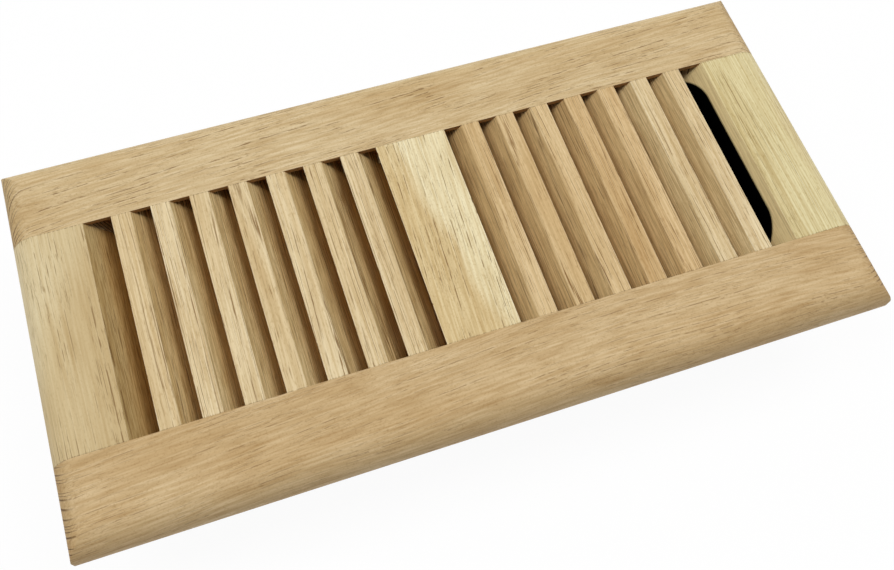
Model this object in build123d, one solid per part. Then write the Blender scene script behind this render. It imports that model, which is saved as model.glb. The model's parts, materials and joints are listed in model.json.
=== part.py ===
from build123d import *
import os
from math import cos, radians, sin, tan

# Drop-in wooden floor register: a louvred oak face over a three-blade steel damper.
# Millimetres. +X runs along the length, towards the lever end, and +Z points up out of the floor.
# The origin is the centre of the plane where the flange meets the floor.

# Oak face and frame
FACE_LENGTH = 298.45
FACE_WIDTH = 146.05
FLANGE_THICKNESS = 11.1
FLANGE_OVERHANG = 25.1
ROUNDOVER_RADIUS = 9.2
CORNER_RADIUS = 0.6
RAIL_WIDTH = 31.2
STILE_WIDTH = 26.4
CENTRE_BAR_WIDTH = 27.25
CORE_DROP = 7.9

# Louvre slats, which lean outwards from the centre bar
SLATS_PER_BANK = 7
SLAT_THICKNESS = 5.8
SLAT_LEAN = 55.0
SLAT_DEPTH = 16.0
CENTRE_GAP = 7.1
END_GAP = 9.8
SLAT_ARRIS = 0.3

# Groove along each rail that holds the slats and the centre bar, and stub tenons that hold the stiles
GROOVE_COVER = 1.9
GROOVE_HEIGHT = 10.1
GROOVE_DEPTH = 4.0
TENON_LENGTH = 4.0
TENON_COVER = 4.0
TENON_DEPTH = 4.5
TENON_WIDTH = 14.0

# Notch for the damper lever, milled in the right stile's sloping edge
NOTCH_SETBACK = 2.65
NOTCH_RADIUS = 25.4
NOTCH_TRAVEL = 52.5
NOTCH_OFFSET = 1.2

# Sheet-steel damper box around the core
SHEET = 0.9
CORE_SHOULDER = 0.5
BOX_HEM = 4.0
SCREW_RADIUS = 1.3
SCREW_LENGTH = 6.0
SCREW_HEAD_RADIUS = 2.6
SCREW_HEAD_HEIGHT = 1.2
SCREW_INSET = 4.8
SCREW_HOLE_CLEARANCE = 0.1

# Damper blades and their axles
BLADE_SHEET = 0.8
BLADE_EDGE_GAP = 0.6
BLADE_SIDE_GAP = 1.0
BLADE_CLEARANCE = 1.5
BLADE_END_GAP = 15.0
BLADE_FOLD = 3.0
BLADE_TUBE_WALL = 0.8
AXLE_RADIUS = 2.0
AXLE_HEAD_RADIUS = 3.2
AXLE_HEAD_HEIGHT = 1.0
AXLE_END_PLAY = 0.1
RUNNING_CLEARANCE = 0.05

# Lever, cranks and the tie bar that turns the blades together
LEVER_SETBACK = 4.2
LEVER_TIP_DROP = 2.2
LEVER_TIP_RADIUS = 4.0
LEVER_LEAN = 45.0
CRANK_RADIUS = 12.0
CRANK_TIP_RADIUS = 4.0
PLATE = 1.6
HUB_RADIUS = 6.0
BOSS_RADIUS = 4.0
BOSS_LENGTH = 2.5
TIE_BAR_THICKNESS = 1.2
LINK_GAP = 0.2
RIVET_RADIUS = 1.5
RIVET_HEAD_RADIUS = 2.8
RIVET_HEAD_HEIGHT = 0.9

# Places worked out from the sizes above
BLADES = 3
face_z = FLANGE_THICKNESS
core_z = -CORE_DROP
wood_depth = FLANGE_THICKNESS + CORE_DROP
core_length = FACE_LENGTH - 2 * FLANGE_OVERHANG
core_width = FACE_WIDTH - 2 * FLANGE_OVERHANG
inner_length = FACE_LENGTH - 2 * STILE_WIDTH
inner_width = FACE_WIDTH - 2 * RAIL_WIDTH
slat_width = SLAT_THICKNESS / sin(radians(SLAT_LEAN))
first_slat_x = CENTRE_BAR_WIDTH / 2 + CENTRE_GAP
last_slat_x = inner_length / 2 - END_GAP - slat_width
slat_pitch = (last_slat_x - first_slat_x) / (SLATS_PER_BANK - 1)
groove_bottom = GROOVE_COVER + GROOVE_HEIGHT
notch_x = inner_length / 2 - NOTCH_SETBACK
box_length = core_length + 2 * SHEET
box_width = core_width + 2 * SHEET
blade_width = (core_width - 2 * BLADE_SIDE_GAP - (BLADES - 1) * BLADE_EDGE_GAP) / BLADES
blade_pitch = blade_width + BLADE_EDGE_GAP
blade_length = core_length - 2 * BLADE_END_GAP
axle_z = core_z - BLADE_CLEARANCE - blade_width / 2
box_bottom_z = axle_z - blade_width / 2 - BLADE_CLEARANCE - SHEET
screw_y = inner_width / 2 - SCREW_INSET
screw_z = core_z / 2
lever_x = notch_x - LEVER_SETBACK
lever_reach = face_z - LEVER_TIP_DROP - axle_z
crank_y = -CRANK_RADIUS * sin(radians(LEVER_LEAN))
crank_z = axle_z - CRANK_RADIUS * cos(radians(LEVER_LEAN))
tie_bar_x = lever_x + PLATE / 2 + LINK_GAP + TIE_BAR_THICKNESS / 2
BLADE_PLACES = {"front": -blade_pitch, "middle": 0.0, "back": blade_pitch}


def lean_shift(depth):
    """How far a leaning face has moved towards the centre at a depth below the face."""
    return depth / tan(radians(SLAT_LEAN))


def prism_across(outline, length):
    """Extrude an XZ outline along Y, centred on the length."""
    section = Plane.XZ * make_face(Polyline(*outline, close=True))
    return extrude(section, amount=length / 2, both=True)


def leaning_outline(left, right, top_depth, bottom_depth, left_leans, right_leans):
    """Outline between two edges, each upright (0) or leaning to +X (1) or -X (-1) as it goes down."""
    def corner(x, leans, depth):
        return (x + leans * lean_shift(depth), face_z - depth)
    return [
        corner(left, left_leans, top_depth),
        corner(right, right_leans, top_depth),
        corner(right, right_leans, bottom_depth),
        corner(left, left_leans, bottom_depth),
    ]


def make_slat(number, side):
    """One louvre slat with a tongue at each end; side is 1 on the right bank and -1 on the left."""
    near = first_slat_x + (number - 1) * slat_pitch
    edges = sorted((side * near, side * (near + slat_width)))
    slat = prism_across(leaning_outline(*edges, 0, SLAT_DEPTH, -side, -side), inner_width)
    arrises = slat.edges().filter_by(Axis.Y).group_by(Axis.Z)[-1]
    slat = chamfer(arrises, SLAT_ARRIS)
    tongue = leaning_outline(*edges, GROOVE_COVER, groove_bottom, -side, -side)
    return slat + prism_across(tongue, inner_width + 2 * GROOVE_DEPTH)


def make_centre_bar():
    """Wide bar between the banks, undercut on both sides to match the slats."""
    half = CENTRE_BAR_WIDTH / 2
    bar = prism_across(leaning_outline(-half, half, 0, SLAT_DEPTH, 1, -1), inner_width)
    tongue = leaning_outline(-half, half, GROOVE_COVER, groove_bottom, 1, -1)
    return bar + prism_across(tongue, inner_width + 2 * GROOVE_DEPTH)


def make_right_stile():
    """End stile: rounded outside, sloping inside, with a foot rebated for the damper box."""
    inner = inner_length / 2
    outer = FACE_LENGTH / 2
    stile = prism_across(
        [
            (inner, face_z),
            (outer, face_z),
            (outer, 0),
            (box_length / 2, 0),
            (box_length / 2, -CORE_SHOULDER),
            (core_length / 2, -CORE_SHOULDER),
            (core_length / 2, core_z),
            (inner - lean_shift(wood_depth), core_z),
        ],
        inner_width,
    )
    outer_edge = stile.edges().filter_by(Axis.Y).group_by(Axis.Z)[-1].sort_by(Axis.X)[-1]
    stile = fillet(outer_edge, ROUNDOVER_RADIUS)
    tenon = Box(TENON_WIDTH, inner_width + 2 * TENON_LENGTH, TENON_DEPTH)
    tenon_x = inner + (STILE_WIDTH - ROUNDOVER_RADIUS) / 2
    tenon_z = face_z - TENON_COVER - TENON_DEPTH / 2
    return stile + Pos(tenon_x, 0, tenon_z) * tenon


def make_lever_notch():
    """Space that a round cutter clears for the lever as it runs along the stile."""
    outline = Rot(0, 0, 90) * SlotCenterToCenter(NOTCH_TRAVEL, 2 * NOTCH_RADIUS)
    cutter = extrude(outline, amount=wood_depth, both=True)
    return Pos(notch_x - NOTCH_RADIUS, NOTCH_OFFSET, 0) * cutter


def make_back_rail(cross_pieces):
    """Full-length rail with a lip rebated for the damper box, grooved for the slats, mortised for the stiles."""
    flange = Box(FACE_LENGTH, RAIL_WIDTH, FLANGE_THICKNESS)
    flange = Pos(0, (inner_width + RAIL_WIDTH) / 2, face_z / 2) * flange
    outer_edges = flange.edges().group_by(Axis.Z)[-1].sort_by(Axis.Y)[1:]
    flange = fillet(outer_edges, ROUNDOVER_RADIUS)
    flange &= extrude(RectangleRounded(FACE_LENGTH, FACE_WIDTH, CORNER_RADIUS), amount=face_z)
    lip = Box(core_length, (core_width - inner_width) / 2, CORE_DROP)
    lip = Pos(0, (core_width + inner_width) / 4, core_z / 2) * lip
    shoulder = Box(box_length, (box_width - inner_width) / 2, CORE_SHOULDER)
    shoulder = Pos(0, (box_width + inner_width) / 4, -CORE_SHOULDER / 2) * shoulder
    half = inner_length / 2
    groove = leaning_outline(-half, half, GROOVE_COVER, groove_bottom, 1, -1)
    rail = flange + lip + shoulder - prism_across(groove, inner_width + 2 * GROOVE_DEPTH)
    return rail - cross_pieces


def make_screw(side, y):
    """Hex-head screw driven through an end wall of the damper box into a stile."""
    shank = Cylinder(SCREW_RADIUS, SCREW_LENGTH - SCREW_RADIUS, align=(Align.CENTER, Align.CENTER, Align.MAX))
    point = Cone(0, SCREW_RADIUS, SCREW_RADIUS, align=(Align.CENTER, Align.CENTER, Align.MAX))
    head = extrude(RegularPolygon(SCREW_HEAD_RADIUS, side_count=6), amount=SCREW_HEAD_HEIGHT)
    screw = head + shank + Pos(0, 0, SCREW_RADIUS - SCREW_LENGTH) * point
    return Pos(side * box_length / 2, y, screw_z) * Rot(0, side * 90, 0) * screw


def rod_along_x(radius, length):
    return Rot(0, 90, 0) * Cylinder(radius, length)


def make_damper_box():
    """Open sleeve around the core, hemmed inwards at its lower edge."""
    height = -CORE_SHOULDER - box_bottom_z
    middle_z = (box_bottom_z - CORE_SHOULDER) / 2
    box = Pos(0, 0, middle_z) * Box(box_length, box_width, height)
    box -= Pos(0, 0, middle_z + SHEET) * Box(core_length, core_width, height)
    box -= Pos(0, 0, box_bottom_z) * Box(core_length - 2 * BOX_HEM, core_width - 2 * BOX_HEM, 4 * SHEET)
    for y in BLADE_PLACES.values():
        box -= Pos(0, y, axle_z) * rod_along_x(AXLE_RADIUS + RUNNING_CLEARANCE, 2 * box_length)
    for y in (-screw_y, screw_y):
        box -= Pos(0, y, screw_z) * rod_along_x(SCREW_RADIUS + SCREW_HOLE_CLEARANCE, 2 * box_length)
    return box


def make_blade(y):
    """Folded steel blade standing open, rolled into a tube round its axle and hemmed at both edges."""
    fold_y = (blade_width - BLADE_FOLD) / 2
    section = Circle(AXLE_RADIUS + BLADE_TUBE_WALL) + Rectangle(BLADE_SHEET, blade_width)
    section += Pos(BLADE_SHEET, fold_y) * Rectangle(BLADE_SHEET, BLADE_FOLD)
    section += Pos(-BLADE_SHEET, -fold_y) * Rectangle(BLADE_SHEET, BLADE_FOLD)
    section -= Circle(AXLE_RADIUS)
    return extrude(Plane.YZ * Pos(y, axle_z) * section, amount=blade_length / 2, both=True)


def make_axle(y):
    """Round axle headed over outside both end walls."""
    head_x = box_length / 2 + AXLE_END_PLAY + AXLE_HEAD_HEIGHT / 2
    head = rod_along_x(AXLE_HEAD_RADIUS, AXLE_HEAD_HEIGHT)
    head = chamfer(head.edges().group_by(Axis.X)[-1], AXLE_HEAD_HEIGHT / 2)
    axle = rod_along_x(AXLE_RADIUS, 2 * head_x)
    axle += Pos(head_x, 0, 0) * head
    axle += Pos(-head_x, 0, 0) * Rot(0, 0, 180) * head
    return Pos(0, y, axle_z) * axle


def tapered_plate(reach, tip_radius):
    """Flat outline that runs from the hub to a rounded tip above it."""
    return make_hull(Circle(HUB_RADIUS).edges() + (Pos(0, reach - tip_radius) * Circle(tip_radius)).edges())


def make_crank_plate(y, with_lever):
    """Crank pressed on an axle; the middle one has a boss and carries on upwards as the lever."""
    crank_reach = CRANK_RADIUS + CRANK_TIP_RADIUS
    outline = Rot(0, 0, 180) * tapered_plate(crank_reach, CRANK_TIP_RADIUS)
    if with_lever:
        outline += tapered_plate(lever_reach, LEVER_TIP_RADIUS)
    outline -= Circle(AXLE_RADIUS) + Pos(0, -CRANK_RADIUS) * Circle(RIVET_RADIUS)
    plate = extrude(Plane.YZ * Rot(0, 0, -LEVER_LEAN) * outline, amount=PLATE / 2, both=True)
    if with_lever:
        boss = rod_along_x(BOSS_RADIUS, BOSS_LENGTH) - rod_along_x(AXLE_RADIUS, BOSS_LENGTH)
        plate += Pos(-(PLATE + BOSS_LENGTH) / 2, 0, 0) * boss
    return Pos(lever_x, y, axle_z) * plate


def make_tie_bar():
    """Strap with a hole for each crank's rivet."""
    outline = SlotCenterToCenter((BLADES - 1) * blade_pitch, 2 * CRANK_TIP_RADIUS)
    for y in BLADE_PLACES.values():
        outline -= Pos(y, 0) * Circle(RIVET_RADIUS + RUNNING_CLEARANCE)
    bar = extrude(Plane.YZ * outline, amount=TIE_BAR_THICKNESS / 2, both=True)
    return Pos(tie_bar_x, crank_y, crank_z) * bar


def make_link_rivet(y):
    """Headed rivet pressed flush into a crank, on which the tie bar turns."""
    grip = PLATE + TIE_BAR_THICKNESS + 2 * LINK_GAP
    head_x = (grip + RIVET_HEAD_HEIGHT) / 2
    rivet = rod_along_x(RIVET_RADIUS, grip)
    rivet += Pos(head_x, 0, 0) * rod_along_x(RIVET_HEAD_RADIUS, RIVET_HEAD_HEIGHT)
    return Pos(lever_x + (grip - PLATE) / 2, y + crank_y, crank_z) * rivet


def make_wood():
    """The oak grille: cross pieces first, so that the rails can be cut to take them."""
    pieces = {}
    for number in range(1, SLATS_PER_BANK + 1):
        pieces[f"slat_left_{number}"] = make_slat(number, -1)
        pieces[f"slat_right_{number}"] = make_slat(number, 1)
    pieces["centre_bar"] = make_centre_bar()
    pieces["right_stile"] = make_right_stile()
    pieces["left_stile"] = mirror(pieces["right_stile"], about=Plane.YZ)
    back_rail = make_back_rail(list(pieces.values()))
    pieces["right_stile"] -= make_lever_notch()
    pieces["back_rail"] = back_rail
    pieces["front_rail"] = mirror(back_rail, about=Plane.XZ)
    return pieces


def make_damper():
    """The steel damper: box, blades, axles, linkage and the screws that hold the box."""
    pieces = {"damper_box": make_damper_box(), "tie_bar": make_tie_bar()}
    for place, y in BLADE_PLACES.items():
        pieces[f"{place}_blade"] = make_blade(y)
        pieces[f"{place}_axle"] = make_axle(y)
        pieces[f"{place}_link_rivet"] = make_link_rivet(y)
    pieces["front_crank"] = make_crank_plate(BLADE_PLACES["front"], with_lever=False)
    pieces["back_crank"] = make_crank_plate(BLADE_PLACES["back"], with_lever=False)
    pieces["lever"] = make_crank_plate(BLADE_PLACES["middle"], with_lever=True)
    screws = [make_screw(side, y) for side in (-1, 1) for y in (-screw_y, screw_y)]
    pieces["mounting_screws"] = Compound(children=screws)
    return pieces


def main():
    pieces = make_wood() | make_damper()
    for stile in ("left_stile", "right_stile"):
        pieces[stile] -= pieces["mounting_screws"].solids()
    os.makedirs("parts", exist_ok=True)
    for name, piece in pieces.items():
        export_step(piece, f"parts/{name}.step")


main()
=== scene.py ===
"""Looks for a drop-in oak floor register over a three-blade steel damper."""
import json
from math import radians

import bpy
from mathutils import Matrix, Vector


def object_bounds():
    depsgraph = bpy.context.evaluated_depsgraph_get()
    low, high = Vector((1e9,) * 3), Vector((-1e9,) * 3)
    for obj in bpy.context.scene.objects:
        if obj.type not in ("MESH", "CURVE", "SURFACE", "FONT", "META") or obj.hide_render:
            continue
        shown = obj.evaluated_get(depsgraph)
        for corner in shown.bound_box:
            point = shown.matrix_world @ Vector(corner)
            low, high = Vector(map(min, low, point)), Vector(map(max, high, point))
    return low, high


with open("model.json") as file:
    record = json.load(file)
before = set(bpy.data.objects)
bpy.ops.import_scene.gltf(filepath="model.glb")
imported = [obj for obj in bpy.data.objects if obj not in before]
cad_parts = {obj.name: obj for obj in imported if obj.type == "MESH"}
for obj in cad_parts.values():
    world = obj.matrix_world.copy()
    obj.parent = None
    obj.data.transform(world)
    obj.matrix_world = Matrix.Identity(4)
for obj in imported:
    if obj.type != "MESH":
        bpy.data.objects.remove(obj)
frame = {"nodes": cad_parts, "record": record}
cad_low, cad_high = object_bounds()
MM = 0.001

# Sizes of the register that its looks follow, in mm from the middle of the face and from the floor
JOINT_START, JOINT_END = 41.45, 41.75
# Heights between which painted shade comes in on the sawn inner walls, from none to full
SHADE_TOP, SHADE_FULL = 9, -2
NOTCH_CENTRE = (94.775, 1.2)
NOTCH_HALF_TRAVEL = 26.25
# Distances from the notch's centre line where the wall's near-black colour is full and where it has faded out
NOTCH_BLACK, NOTCH_BARE = 25.6, 26.05

# The studio, in metres, watts and degrees
FLOOR_SIZE = 6
FLOOR_GLOW = 0.95
ROOM_BRIGHT_WAY = (0, 0.55, 0.835)
ROOM_DIM, ROOM_BRIGHT = 0.13, 0.45
SOFTBOXES = {"left_softbox": (-0.6, 0.13, 1.2), "right_softbox": (0.6, 0.13, 1.2)}
SOFTBOX_SIZE = 0.6
SOFTBOX_POWER = 6.7
SENSOR_MM = 36.0
LENS_MM = 39.38
CAMERA_PLACE = (-0.06873, -0.15308, 0.32444)
CAMERA_TURN = (24.911, -2.9004, -18.9357)


def linear(hex_colour):
    """An sRGB hex colour as linear RGBA."""
    channels = [int(hex_colour[i:i + 2], 16) / 255 for i in (1, 3, 5)]
    return [c / 12.92 if c <= 0.04045 else ((c + 0.055) / 1.055) ** 2.4 for c in channels] + [1.0]


def add(tree, kind, inputs=None, **settings):
    """Add a node; inputs holds a value, or a socket to link, for each named or numbered input."""
    made = tree.nodes.new(kind)
    for name, value in settings.items():
        setattr(made, name, value)
    for socket, value in (inputs or {}).items():
        if isinstance(value, bpy.types.NodeSocket):
            tree.links.new(value, made.inputs[socket])
        else:
            made.inputs[socket].default_value = value
    return made.outputs


def new_material(name):
    """An empty node material and its tree."""
    material = bpy.data.materials.new(name)
    material.use_nodes = True
    material.node_tree.nodes.clear()
    return material, material.node_tree


def find_edges(tree, width):
    """1 along the sharp edges, over a width in mm: there a rounded edge would face away from the flat."""
    rounded = add(tree, "ShaderNodeBevel", {"Radius": width * MM}, samples=4)[0]
    flat = add(tree, "ShaderNodeNewGeometry")["Normal"]
    alike = add(tree, "ShaderNodeVectorMath", {0: rounded, 1: flat}, operation="DOT_PRODUCT")["Value"]
    return add(tree, "ShaderNodeMapRange", {0: alike, 1: 0.97, 2: 0.8})[0]


def find_backdrop(tree):
    """1 where the studio is seen, by the camera or in gloss or glass, and 0 where it only lights the part."""
    ray = add(tree, "ShaderNodeLightPath")
    seen = add(tree, "ShaderNodeMath", {0: ray["Is Camera Ray"], 1: ray["Is Glossy Ray"]},
               operation="MAXIMUM")[0]
    return add(tree, "ShaderNodeMath", {0: seen, 1: ray["Is Transmission Ray"]}, operation="MAXIMUM")[0]


# White oak, planed, sanded and left bare: matt, straw to tan, with fine dark ring lines, open pores
# and soft brown streaks that run along each piece and turn to a comb of lines on its end grain.
OAK_TONES = {
    "tan": "#D8BF95",
    "straw": "#DEC9A1",
    "wheat": "#D5C196",
    "ivory": "#EAE0B4",
    "pale": "#E5D1A3",
    "cream": "#EDDCB6",
    "honey": "#E5CDA1",
    "amber": "#E0C597",
    # Whitening for pale sapwood, and for the painted sheen on rounded outer edges
    "sapwood_and_sheen": "#FFF9D8",
}

# Noise drawn out along the grain: length and width in mm, detail, and the levels it is cut between.
# Real pores are about 0.25 mm wide, too fine to show, so they are drawn wider.
OAK_LAYERS = {
    "cloud": (110, 18, 2.0, 0.3, 0.7),
    "streaks": (70, 3.0, 3.0, 0.5, 0.75),
    "fibres": (30, 0.7, 3.0, 0.3, 0.75),
    "dashes": (12, 0.4, 1.0, 0.44, 0.56),
    "pores": (10, 0.35, 1.0, 0.64, 0.7),
    "flecks": (1.8, 0.6, 2.0, 0.5, 0.75),
    "patches": (50, 8, 1.0, 0.4, 0.58),
    "chatter": (14, 0.45, 3.0, 0.42, 0.62),
    "nicks": (9, 3.0, 2.0, 0.6, 0.64),
}
TRUNK_BEND = (120, 30, 30)
# How far the edge of the sapwood and the painted sheen strays, and the span it fades over, in mm
SAP_AND_SHEEN_STRAY, SAP_AND_SHEEN_FADE = 6, (-1, 7)


def make_oak(name, tone, turn, heart, inner, wander=0.8, ring=1.8, lines=0.5, stretch=1.0, gather=1.0,
             fibre=1.0, bow=0.0, sap_and_sheen=(0, 0, 1, 0), pale=0.0, depth_shade_tint="#E6C48F", gloss=0.2):
    """Solid oak for one piece.

    turn lays the grain along the piece, in degrees, and heart puts the rings' centre beside it, in mm.
    inner is the way its sawn inner walls face, pale how much painted light lifts them, and
    depth_shade_tint the colour of the painted shade that browns them low down.
    wander is how far the rings waver, ring the width of a year in mm, and bow the mm that the grain bends
    aside in 100 mm. lines, stretch and gather are how dark its pores are, how long, and how much they keep
    to patches. fibre is the strength of its finest streaks. sap_and_sheen is the plan direction, the
    distance along it in mm and the share of the whitening towards the outer edge: pale sapwood on the
    centre bar, and a painted sheen on the rounded outer edges of the back rail and the stiles. gloss is the
    shader's specular level.
    """
    material, tree = new_material("white_oak_" + name)
    lie = [radians(a) for a in turn]
    where = add(tree, "ShaderNodeTexCoord")
    place = add(tree, "ShaderNodeMapping", {
        "Vector": where["Object"], "Location": heart, "Rotation": lie, "Scale": (1 / MM, 1 / MM, 1 / MM)})[0]

    # The trunk's axis bends and wanders, so the rings on a planed face sweep and waver
    aside = add(tree, "ShaderNodeSeparateXYZ", {0: place})[0]
    aside = add(tree, "ShaderNodeMath", {0: aside, 1: 100.0}, operation="DIVIDE")[0]
    aside = add(tree, "ShaderNodeMath", {0: aside, 1: 2.0}, operation="POWER")[0]
    aside = add(tree, "ShaderNodeMath", {0: aside, 1: bow}, operation="MULTIPLY")[0]
    aside = add(tree, "ShaderNodeCombineXYZ", {1: aside})[0]
    place = add(tree, "ShaderNodeVectorMath", {0: place, 1: aside})[0]
    bend = add(tree, "ShaderNodeVectorMath", {0: place, 1: [1 / mm for mm in TRUNK_BEND]},
               operation="MULTIPLY")[0]
    bend = add(tree, "ShaderNodeTexNoise", {"Vector": bend, "Scale": 1.0, "Detail": 1.0})["Color"]
    bend = add(tree, "ShaderNodeVectorMath", {0: bend, 1: (0.5, 0.5, 0.5)}, operation="SUBTRACT")[0]
    grain = add(tree, "ShaderNodeVectorMath", {0: bend, 1: (0, 4 * wander, 4 * wander), 2: place},
                operation="MULTIPLY_ADD")[0]
    layers = {}
    for layer, (length, width, detail, low, high) in OAK_LAYERS.items():
        spread = (1 / (length * stretch), 1 / width, 1 / width)
        drawn = add(tree, "ShaderNodeVectorMath", {0: grain, 1: spread}, operation="MULTIPLY")[0]
        noise = add(tree, "ShaderNodeTexNoise", {"Vector": drawn, "Scale": 1.0, "Detail": detail})[0]
        layers[layer] = add(tree, "ShaderNodeMapRange", {0: noise, 1: low, 2: high},
                            interpolation_type="SMOOTHSTEP")[0]

    # Open pores gather in patches, with plainer wood between
    crowd = add(tree, "ShaderNodeMapRange", {0: layers["patches"], 3: 1 - gather, 4: 1.0})[0]
    for layer in ("dashes", "pores"):
        layers[layer] = add(tree, "ShaderNodeMath", {0: layers[layer], 1: crowd}, operation="MULTIPLY")[0]

    # Each year's ring starts with a row of open pores and ends in dense, darker wood
    across = add(tree, "ShaderNodeVectorMath", {0: grain, 1: (0, 1 / ring, 1 / ring)},
                 operation="MULTIPLY")[0]
    years = add(tree, "ShaderNodeVectorMath", {0: across}, operation="LENGTH")["Value"]
    uneven = add(tree, "ShaderNodeTexNoise", {"W": years, "Scale": 0.4, "Detail": 1.0},
                 noise_dimensions="1D")[0]
    count = add(tree, "ShaderNodeMath", {0: uneven, 1: 2.5, 2: years}, operation="MULTIPLY_ADD")[0]
    season = add(tree, "ShaderNodeMath", {0: count, 1: 0.5}, operation="PINGPONG")[0]
    late = add(tree, "ShaderNodeMapRange", {0: season, 1: 0.1, 2: 0.5}, interpolation_type="SMOOTHSTEP")[0]
    spring = add(tree, "ShaderNodeMapRange", {0: season, 1: 0.03, 2: 0.13, 3: 1.0, 4: 0.0})[0]
    rows = add(tree, "ShaderNodeMath", {0: spring, 1: layers["dashes"]}, operation="MULTIPLY")[0]

    # Sawn ends are darker and show the rings as a comb of lines
    facing = add(tree, "ShaderNodeVectorRotate", {"Vector": where["Normal"], "Rotation": lie},
                 rotation_type="EULER_XYZ")[0]
    endwise = add(tree, "ShaderNodeSeparateXYZ", {0: facing})[0]
    endwise = add(tree, "ShaderNodeMath", {0: endwise}, operation="ABSOLUTE")[0]
    endwise = add(tree, "ShaderNodeMapRange", {0: endwise, 1: 0.25, 2: 0.9},
                  interpolation_type="SMOOTHSTEP")[0]
    comb = add(tree, "ShaderNodeMapRange", {0: season, 1: 0.05, 2: 0.2, 3: 1.0, 4: 0.0})[0]
    torn = add(tree, "ShaderNodeMath", {0: endwise, 1: comb}, operation="MULTIPLY")[0]

    # Inner walls are left as sawn, with ragged tool marks. On the rails they are darkened as painted shade,
    # and on every piece they take more painted shade, browner, deeper in the cut
    sawn = add(tree, "ShaderNodeVectorMath", {0: where["Normal"], 1: inner}, operation="DOT_PRODUCT")["Value"]
    sawn = add(tree, "ShaderNodeMapRange", {0: sawn, 1: 0.5, 2: 0.75}, interpolation_type="SMOOTHSTEP")[0]
    ragged = add(tree, "ShaderNodeMath", {0: sawn, 1: layers["chatter"]}, operation="MULTIPLY")[0]
    spot = add(tree, "ShaderNodeSeparateXYZ", {0: where["Object"]})
    shade_depth = add(tree, "ShaderNodeMapRange", {0: spot[2], 1: SHADE_TOP * MM, 2: SHADE_FULL * MM},
               interpolation_type="SMOOTHSTEP")[0]
    depth_shade = add(tree, "ShaderNodeMath", {0: sawn, 1: shade_depth}, operation="MULTIPLY")[0]

    # A dark, broken hairline shows where a cross piece meets the rails; its other edges get a pale painted
    # highlight, broken by a dark nick here and there
    middle = add(tree, "ShaderNodeMath", {0: spot[1]}, operation="ABSOLUTE")[0]
    joint = add(tree, "ShaderNodeMapRange", {0: middle, 1: JOINT_START * MM, 2: JOINT_END * MM})[0]
    seam = add(tree, "ShaderNodeMath", {0: joint, 1: layers["fibres"]}, operation="MULTIPLY")[0]
    arris = add(tree, "ShaderNodeMath", {0: find_edges(tree, 0.5), 1: joint}, operation="SUBTRACT",
                use_clamp=True)[0]
    nicked = add(tree, "ShaderNodeMath", {0: arris, 1: layers["nicks"]}, operation="MULTIPLY")[0]
    cross_piece = "rail" not in name

    # Pale sapwood, and the painted sheen on rounded outer edges, shade off over about 8 mm
    out_x, out_y, start, sap_and_sheen_share = sap_and_sheen
    outer = add(tree, "ShaderNodeVectorMath", {0: where["Object"], 1: (out_x, out_y, 0)},
                operation="DOT_PRODUCT")["Value"]
    strayed = add(tree, "ShaderNodeMath", {0: layers["cloud"], 1: SAP_AND_SHEEN_STRAY * MM, 2: outer},
                  operation="MULTIPLY_ADD")[0]
    first, last = [(start + mm) * MM for mm in SAP_AND_SHEEN_FADE]
    sapwood_and_sheen = add(tree, "ShaderNodeMapRange", {0: strayed, 1: first, 2: last, 4: sap_and_sheen_share},
                  interpolation_type="SMOOTHSTEP")[0]
    colour = add(tree, "ShaderNodeMix", {
        0: sapwood_and_sheen, 6: linear(OAK_TONES[tone]), 7: linear(OAK_TONES["sapwood_and_sheen"])}, data_type="RGBA")[2]
    for tint, amount, share in (
        ("#F3EDE3", layers["cloud"], 1.0),
        ("#E4D8C4", layers["streaks"], 0.6),
        ("#F5F0E7", late, 0.9 * fibre),
        ("#E8E1D4", layers["fibres"], fibre),
        ("#EBE4D8", layers["flecks"], 0.8 * fibre),
        ("#967A50", rows, lines),
        ("#967A50", layers["pores"], 0.6 * lines),
        # On the rails' inner walls this darker tint is painted shade; on the cross pieces it only faintly
        # warms the sawn walls
        ("#FFF9E8" if cross_piece else "#D7B89A", sawn, 1.0),
        # Painted shade on the sawn walls, browner deeper in the cut
        (depth_shade_tint, depth_shade, 1.0),
        ("#B89E70", ragged, 0.5),
        ("#F1EBDF", endwise, 1.0),
        ("#87734D", torn, 1.0),
        ("#7F6B4C", seam, 0.9 if cross_piece else 0.0),
        ("#6E5836", nicked, 0.9 if cross_piece else 0.0),
    ):
        strength = add(tree, "ShaderNodeMath", {0: amount, 1: share}, operation="MULTIPLY")[0]
        colour = add(tree, "ShaderNodeMix", {0: strength, 6: colour, 7: linear(tint)},
                     data_type="RGBA", blend_type="MULTIPLY")[2]
    # Painted highlight along the edges, left out where there are nicks
    painted_edge_highlight = add(tree, "ShaderNodeMath", {0: arris, 1: layers["nicks"]}, operation="SUBTRACT",
                 use_clamp=True)[0]
    # pale lifts the sawn walls with painted light
    for tint, amount, share in (("#FFE7B4", sawn, pale), ("#F3E8CC", painted_edge_highlight, 0.35)):
        strength = add(tree, "ShaderNodeMath", {0: amount, 1: share}, operation="MULTIPLY")[0]
        colour = add(tree, "ShaderNodeMix", {0: strength, 6: colour, 7: linear(tint)}, data_type="RGBA")[2]

    # Pores are sunk and dull, and the fibres between them stand a little proud
    open_grain = add(tree, "ShaderNodeMath", {0: rows, 1: layers["pores"]}, operation="MAXIMUM")[0]
    height = add(tree, "ShaderNodeMath", {0: layers["fibres"], 1: 0.3}, operation="MULTIPLY")[0]
    height = add(tree, "ShaderNodeMath", {0: height, 1: open_grain}, operation="SUBTRACT")[0]
    bump = add(tree, "ShaderNodeBump", {"Strength": 0.4, "Distance": 0.12 * MM, "Height": height})[0]
    rough = add(tree, "ShaderNodeMapRange", {0: open_grain, 3: 0.62, 4: 0.8})[0]
    surface = add(tree, "ShaderNodeBsdfPrincipled", {
        "Base Color": colour, "Roughness": rough, "IOR": 1.5, "Specular IOR Level": gloss, "Normal": bump})[0]
    add(tree, "ShaderNodeOutputMaterial", {"Surface": surface})
    return material


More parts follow.
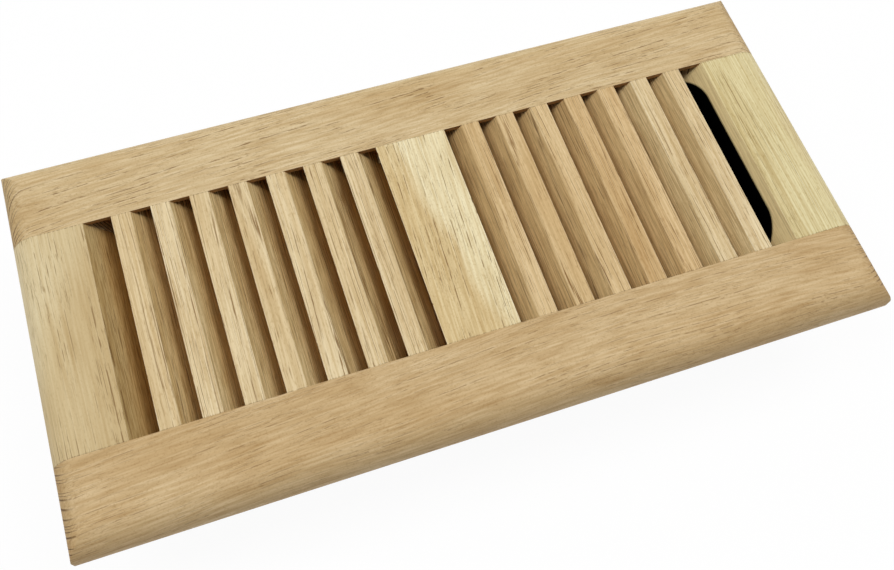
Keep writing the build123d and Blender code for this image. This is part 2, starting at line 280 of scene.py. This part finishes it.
def blacken_notch(material):
    """Near-black, matt colour on the wall that the cutter left for the lever, fading out just past it: a
    round-ended track in plan.
    """
    tree = material.node_tree
    oak = tree.nodes["Principled BSDF"].inputs
    where = add(tree, "ShaderNodeTexCoord")["Object"]
    centre = [mm * MM for mm in NOTCH_CENTRE] + [0]
    plan = add(tree, "ShaderNodeVectorMath", {0: where, 1: centre}, operation="SUBTRACT")[0]
    sides = add(tree, "ShaderNodeSeparateXYZ", {0: plan})
    past_end = add(tree, "ShaderNodeMath", {0: sides[1]}, operation="ABSOLUTE")[0]
    past_end = add(tree, "ShaderNodeMath", {0: past_end, 1: NOTCH_HALF_TRAVEL * MM}, operation="SUBTRACT")[0]
    past_end = add(tree, "ShaderNodeMath", {0: past_end, 1: 0.0}, operation="MAXIMUM")[0]
    reach = add(tree, "ShaderNodeCombineXYZ", {0: sides[0], 1: past_end})[0]
    reach = add(tree, "ShaderNodeVectorMath", {0: reach}, operation="LENGTH")["Value"]
    blackened = add(tree, "ShaderNodeMapRange", {
        0: reach, 1: NOTCH_BLACK * MM, 2: NOTCH_BARE * MM, 3: 1.0, 4: 0.0})[0]
    bare = oak["Base Color"].links[0].from_socket
    colour = add(tree, "ShaderNodeMix", {0: blackened, 6: bare, 7: linear("#030303")}, data_type="RGBA")[2]
    tree.links.new(colour, oak["Base Color"])
    bare = oak["Roughness"].links[0].from_socket
    rough = add(tree, "ShaderNodeMath", {0: bare, 1: blackened}, operation="MAXIMUM")[0]
    tree.links.new(rough, oak["Roughness"])


# Satin black stoving paint on folded sheet steel: deep black with a faint orange peel and the sheet's
# rolling lines, grey dust on what faces up, a few fine scuffs, and a worn grey line along the folds and
# cut edges. Each mark is noise: its size in mm along x, y and z, detail, and the levels it is cut between.
PAINT_MARKS = {
    "peel": ((1.4, 1.4, 1.4), 2.0, 0.0, 1.0),
    "rolled": ((90, 90, 1.1), 3.0, 0.35, 0.7),
    "drift": ((26, 26, 14), 6.0, 0.38, 0.7),
    "scuffs": ((14, 14, 0.5), 1.0, 0.68, 0.72),
    "knocks": ((9, 9, 9), 4.0, 0.42, 0.55),
}


def make_black_paint():
    material, tree = new_material("satin_black_paint")
    where = add(tree, "ShaderNodeTexCoord")
    marks = {}
    for mark, (size, detail, low, high) in PAINT_MARKS.items():
        spread = [1 / (mm * MM) for mm in size]
        drawn = add(tree, "ShaderNodeVectorMath", {0: where["Object"], 1: spread}, operation="MULTIPLY")[0]
        noise = add(tree, "ShaderNodeTexNoise", {"Vector": drawn, "Scale": 1.0, "Detail": detail})[0]
        marks[mark] = add(tree, "ShaderNodeMapRange", {0: noise, 1: low, 2: high})[0]
    upward = add(tree, "ShaderNodeSeparateXYZ", {0: where["Normal"]})[2]
    upward = add(tree, "ShaderNodeMapRange", {0: upward, 1: -0.2, 2: 1.0, 3: 0.35, 4: 1.0})[0]
    dust = add(tree, "ShaderNodeMath", {0: marks["drift"], 1: upward}, operation="MULTIPLY")[0]
    folds = find_edges(tree, 0.8)
    worn = add(tree, "ShaderNodeMath", {0: folds, 1: marks["knocks"]}, operation="MULTIPLY")[0]
    scuffed = add(tree, "ShaderNodeMath", {0: marks["scuffs"], 1: marks["knocks"]}, operation="MULTIPLY")[0]
    colour = linear("#121213")
    for coat, amount, share in (("#29292B", marks["rolled"], 0.5), ("#3D3A35", dust, 0.8),
                                ("#565658", scuffed, 0.5), ("#86868A", worn, 0.8)):
        strength = add(tree, "ShaderNodeMath", {0: amount, 1: share}, operation="MULTIPLY")[0]
        colour = add(tree, "ShaderNodeMix", {0: strength, 6: colour, 7: linear(coat)}, data_type="RGBA")[2]
    rough = add(tree, "ShaderNodeMapRange", {0: dust, 3: 0.36, 4: 0.75})[0]
    bump = add(tree, "ShaderNodeBump", {"Strength": 0.3, "Distance": 0.05 * MM, "Height": marks["peel"]})[0]
    surface = add(tree, "ShaderNodeBsdfPrincipled", {
        "Base Color": colour, "Roughness": rough, "IOR": 1.5, "Normal": bump})[0]
    add(tree, "ShaderNodeOutputMaterial", {"Surface": surface})
    return material


# Zinc-plated steel: bright bluish grey with a soft clouded passivation, fine drawing lines and dull patches.
def make_zinc_plate():
    material, tree = new_material("zinc_plated_steel")
    where = add(tree, "ShaderNodeTexCoord")["Object"]
    cloud = add(tree, "ShaderNodeTexNoise", {"Vector": where, "Scale": 1 / (5 * MM), "Detail": 4.0})[0]
    spread = [1 / (mm * MM) for mm in (20, 0.3, 0.3)]
    drawn = add(tree, "ShaderNodeVectorMath", {0: where, 1: spread}, operation="MULTIPLY")[0]
    drawn = add(tree, "ShaderNodeTexNoise", {"Vector": drawn, "Scale": 1.0, "Detail": 2.0})[0]
    colour = add(tree, "ShaderNodeMix", {0: cloud, 6: linear("#C3C6CA"), 7: linear("#A9A89C")},
                 data_type="RGBA")[2]
    rough = add(tree, "ShaderNodeMapRange", {0: cloud, 1: 0.3, 2: 0.7, 3: 0.22, 4: 0.5})[0]
    bump = add(tree, "ShaderNodeBump", {"Strength": 0.15, "Distance": 0.03 * MM, "Height": drawn})[0]
    surface = add(tree, "ShaderNodeBsdfPrincipled", {
        "Base Color": colour, "Metallic": 1.0, "Roughness": rough, "Normal": bump})[0]
    add(tree, "ShaderNodeOutputMaterial", {"Surface": surface})
    return material


# How each oak piece was cut from its own board, with the painted shade, light and sheen that it carries
# Lighter painted shade for the sawn walls of the left stile and the left bank
LEFT_DEPTH_SHADE_TINT = "#F8D49B"
BOARDS = {
    "front_rail": dict(tone="tan", turn=(0, 2.2, 1.6), heart=(-90, 188, 60), inner=(0, 1, 0),
                       wander=2.0, lines=0.5, stretch=0.4, bow=2.4),
    "back_rail": dict(tone="straw", turn=(0, -2.4, -1.8), heart=(310, -160, 90), inner=(0, -1, 0),
                      wander=2.0, lines=0.8, stretch=0.4, sap_and_sheen=(0, 1, 70, 0.3)),
    "left_stile": dict(tone="wheat", turn=(0, 6, -91), heart=(120, 250, 60), inner=(1, 0, 0), lines=0.7,
                       stretch=0.6, fibre=0.55, sap_and_sheen=(-0.6, 0.2, 84, 0.3), depth_shade_tint=LEFT_DEPTH_SHADE_TINT),
    # On the right stile, pale lifts its sloping inner wall with painted light
    "right_stile": dict(tone="ivory", turn=(0, -4, -89.5), heart=(500, -160, 50), inner=(-1, 0, 0),
                        ring=1.4, lines=0.65, sap_and_sheen=(1, 0, 143, 0.5), pale=0.4, gloss=0.0),
    "centre_bar": dict(tone="pale", turn=(1.2, 0, -88), heart=(820, 130, 60), inner=(0, 0, 0),
                       wander=1.2, lines=0.9, stretch=0.5, sap_and_sheen=(1, 0.22, 0, 0.75)),
}

# The slats of each bank, from the centre bar outwards: their tones, the degrees that their rings are turned
# about their length, so that no two match, where along the grain they start, which way their walls face,
# and the painted shade and light on those walls
SLAT_TONES = {"left": ["cream"] * 7, "right": ["honey"] * 3 + ["amber"] * 2 + ["cream"] * 2}
SLAT_RINGS = {"left": (31, 62, 93, 124, 155, 186, 217), "right": (47, 94, 141, 188, 235, 282, 240)}
SLAT_STARTS = {"left": 140, "right": 0}
SLAT_WALLS = {"left": dict(inner=(1, 0, 0), depth_shade_tint=LEFT_DEPTH_SHADE_TINT),
              "right": dict(inner=(-1, 0, 0), pale=0.12)}
for number in range(1, 8):
    for side, walls in SLAT_WALLS.items():
        # Each slat is cut a little out of line with the grain, in its own way and further along the trunk
        tip = 0.3 * (number % 3 - 1)
        skew = 0.5 * (number % 4 - 1.5)
        BOARDS[f"slat_{side}_{number}"] = dict(
            tone=SLAT_TONES[side][number - 1],
            turn=(tip, SLAT_RINGS[side][number - 1], skew - 90),
            heart=(310 * number + SLAT_STARTS[side], 130 + 7 * number, 64 - 5 * number),
            wander=0.6, ring=1.3, lines=0.85, gather=0.4, **walls)

oaks = {name: make_oak(name, **cut) for name, cut in BOARDS.items()}
blacken_notch(oaks["right_stile"])
finishes = {"black_paint": make_black_paint(), "zinc_plate": make_zinc_plate()}
for subpart in frame["record"]["subparts"]:
    name = subpart["node"]
    finish = finishes.get(subpart["material_slot"]) or oaks[name]
    frame["nodes"][name].material_slots[0].material = finish


def make_floor():
    """White floor under the damper box; it keeps a soft shadow and is clear from below."""
    material, tree = new_material("white_studio_floor")
    share = add(tree, "ShaderNodeMath", {0: find_backdrop(tree), 1: FLOOR_GLOW}, operation="MULTIPLY")[0]
    paper = add(tree, "ShaderNodeBsdfDiffuse", {"Color": linear("#FFFFFF")})[0]
    glow = add(tree, "ShaderNodeEmission", {"Color": linear("#FFFFFF"), "Strength": 1.0})[0]
    top = add(tree, "ShaderNodeMixShader", {0: share, 1: paper, 2: glow})[0]
    below = add(tree, "ShaderNodeNewGeometry")["Backfacing"]
    clear = add(tree, "ShaderNodeBsdfTransparent")[0]
    surface = add(tree, "ShaderNodeMixShader", {0: below, 1: top, 2: clear})[0]
    add(tree, "ShaderNodeOutputMaterial", {"Surface": surface})
    bpy.ops.mesh.primitive_plane_add(size=FLOOR_SIZE, location=(0, 0, cad_low.z))
    floor = bpy.context.object
    floor.name = "studio_floor"
    floor.data.materials.append(material)


def make_light():
    """A white room, brighter overhead and behind the register than in front, and a softbox on either side."""
    world = bpy.data.worlds.new("white_room")
    bpy.context.scene.world = world
    world.use_nodes = True
    tree = world.node_tree
    tree.nodes.clear()
    way = add(tree, "ShaderNodeTexCoord")["Generated"]
    rise = add(tree, "ShaderNodeVectorMath", {0: way, 1: ROOM_BRIGHT_WAY}, operation="DOT_PRODUCT")["Value"]
    room = add(tree, "ShaderNodeMapRange", {0: rise, 1: -0.3, 2: 0.9, 3: ROOM_DIM, 4: ROOM_BRIGHT},
               interpolation_type="SMOOTHSTEP")[0]
    level = add(tree, "ShaderNodeMapRange", {0: find_backdrop(tree), 3: room, 4: 1.0})[0]
    white = add(tree, "ShaderNodeBackground", {"Color": linear("#FFFFFF"), "Strength": level})[0]
    add(tree, "ShaderNodeOutputWorld", {"Surface": white})
    for name, place in SOFTBOXES.items():
        lamp = bpy.data.lights.new(name, "AREA")
        lamp.size = SOFTBOX_SIZE
        lamp.energy = SOFTBOX_POWER
        softbox = bpy.data.objects.new(name, lamp)
        softbox.location = place
        softbox.rotation_euler = (-softbox.location).to_track_quat("-Z", "Y").to_euler()
        bpy.context.scene.collection.objects.link(softbox)


def make_camera():
    """The photograph's viewpoint, found from the register's own edges."""
    lens = bpy.data.cameras.new("camera")
    lens.sensor_width = SENSOR_MM
    lens.lens = LENS_MM
    camera = bpy.data.objects.new("camera", lens)
    camera.location = CAMERA_PLACE
    camera.rotation_euler = [radians(a) for a in CAMERA_TURN]
    bpy.context.scene.collection.objects.link(camera)
    bpy.context.scene.camera = camera


make_floor()
make_light()
make_camera()
bpy.context.scene.view_settings.view_transform = "Standard"
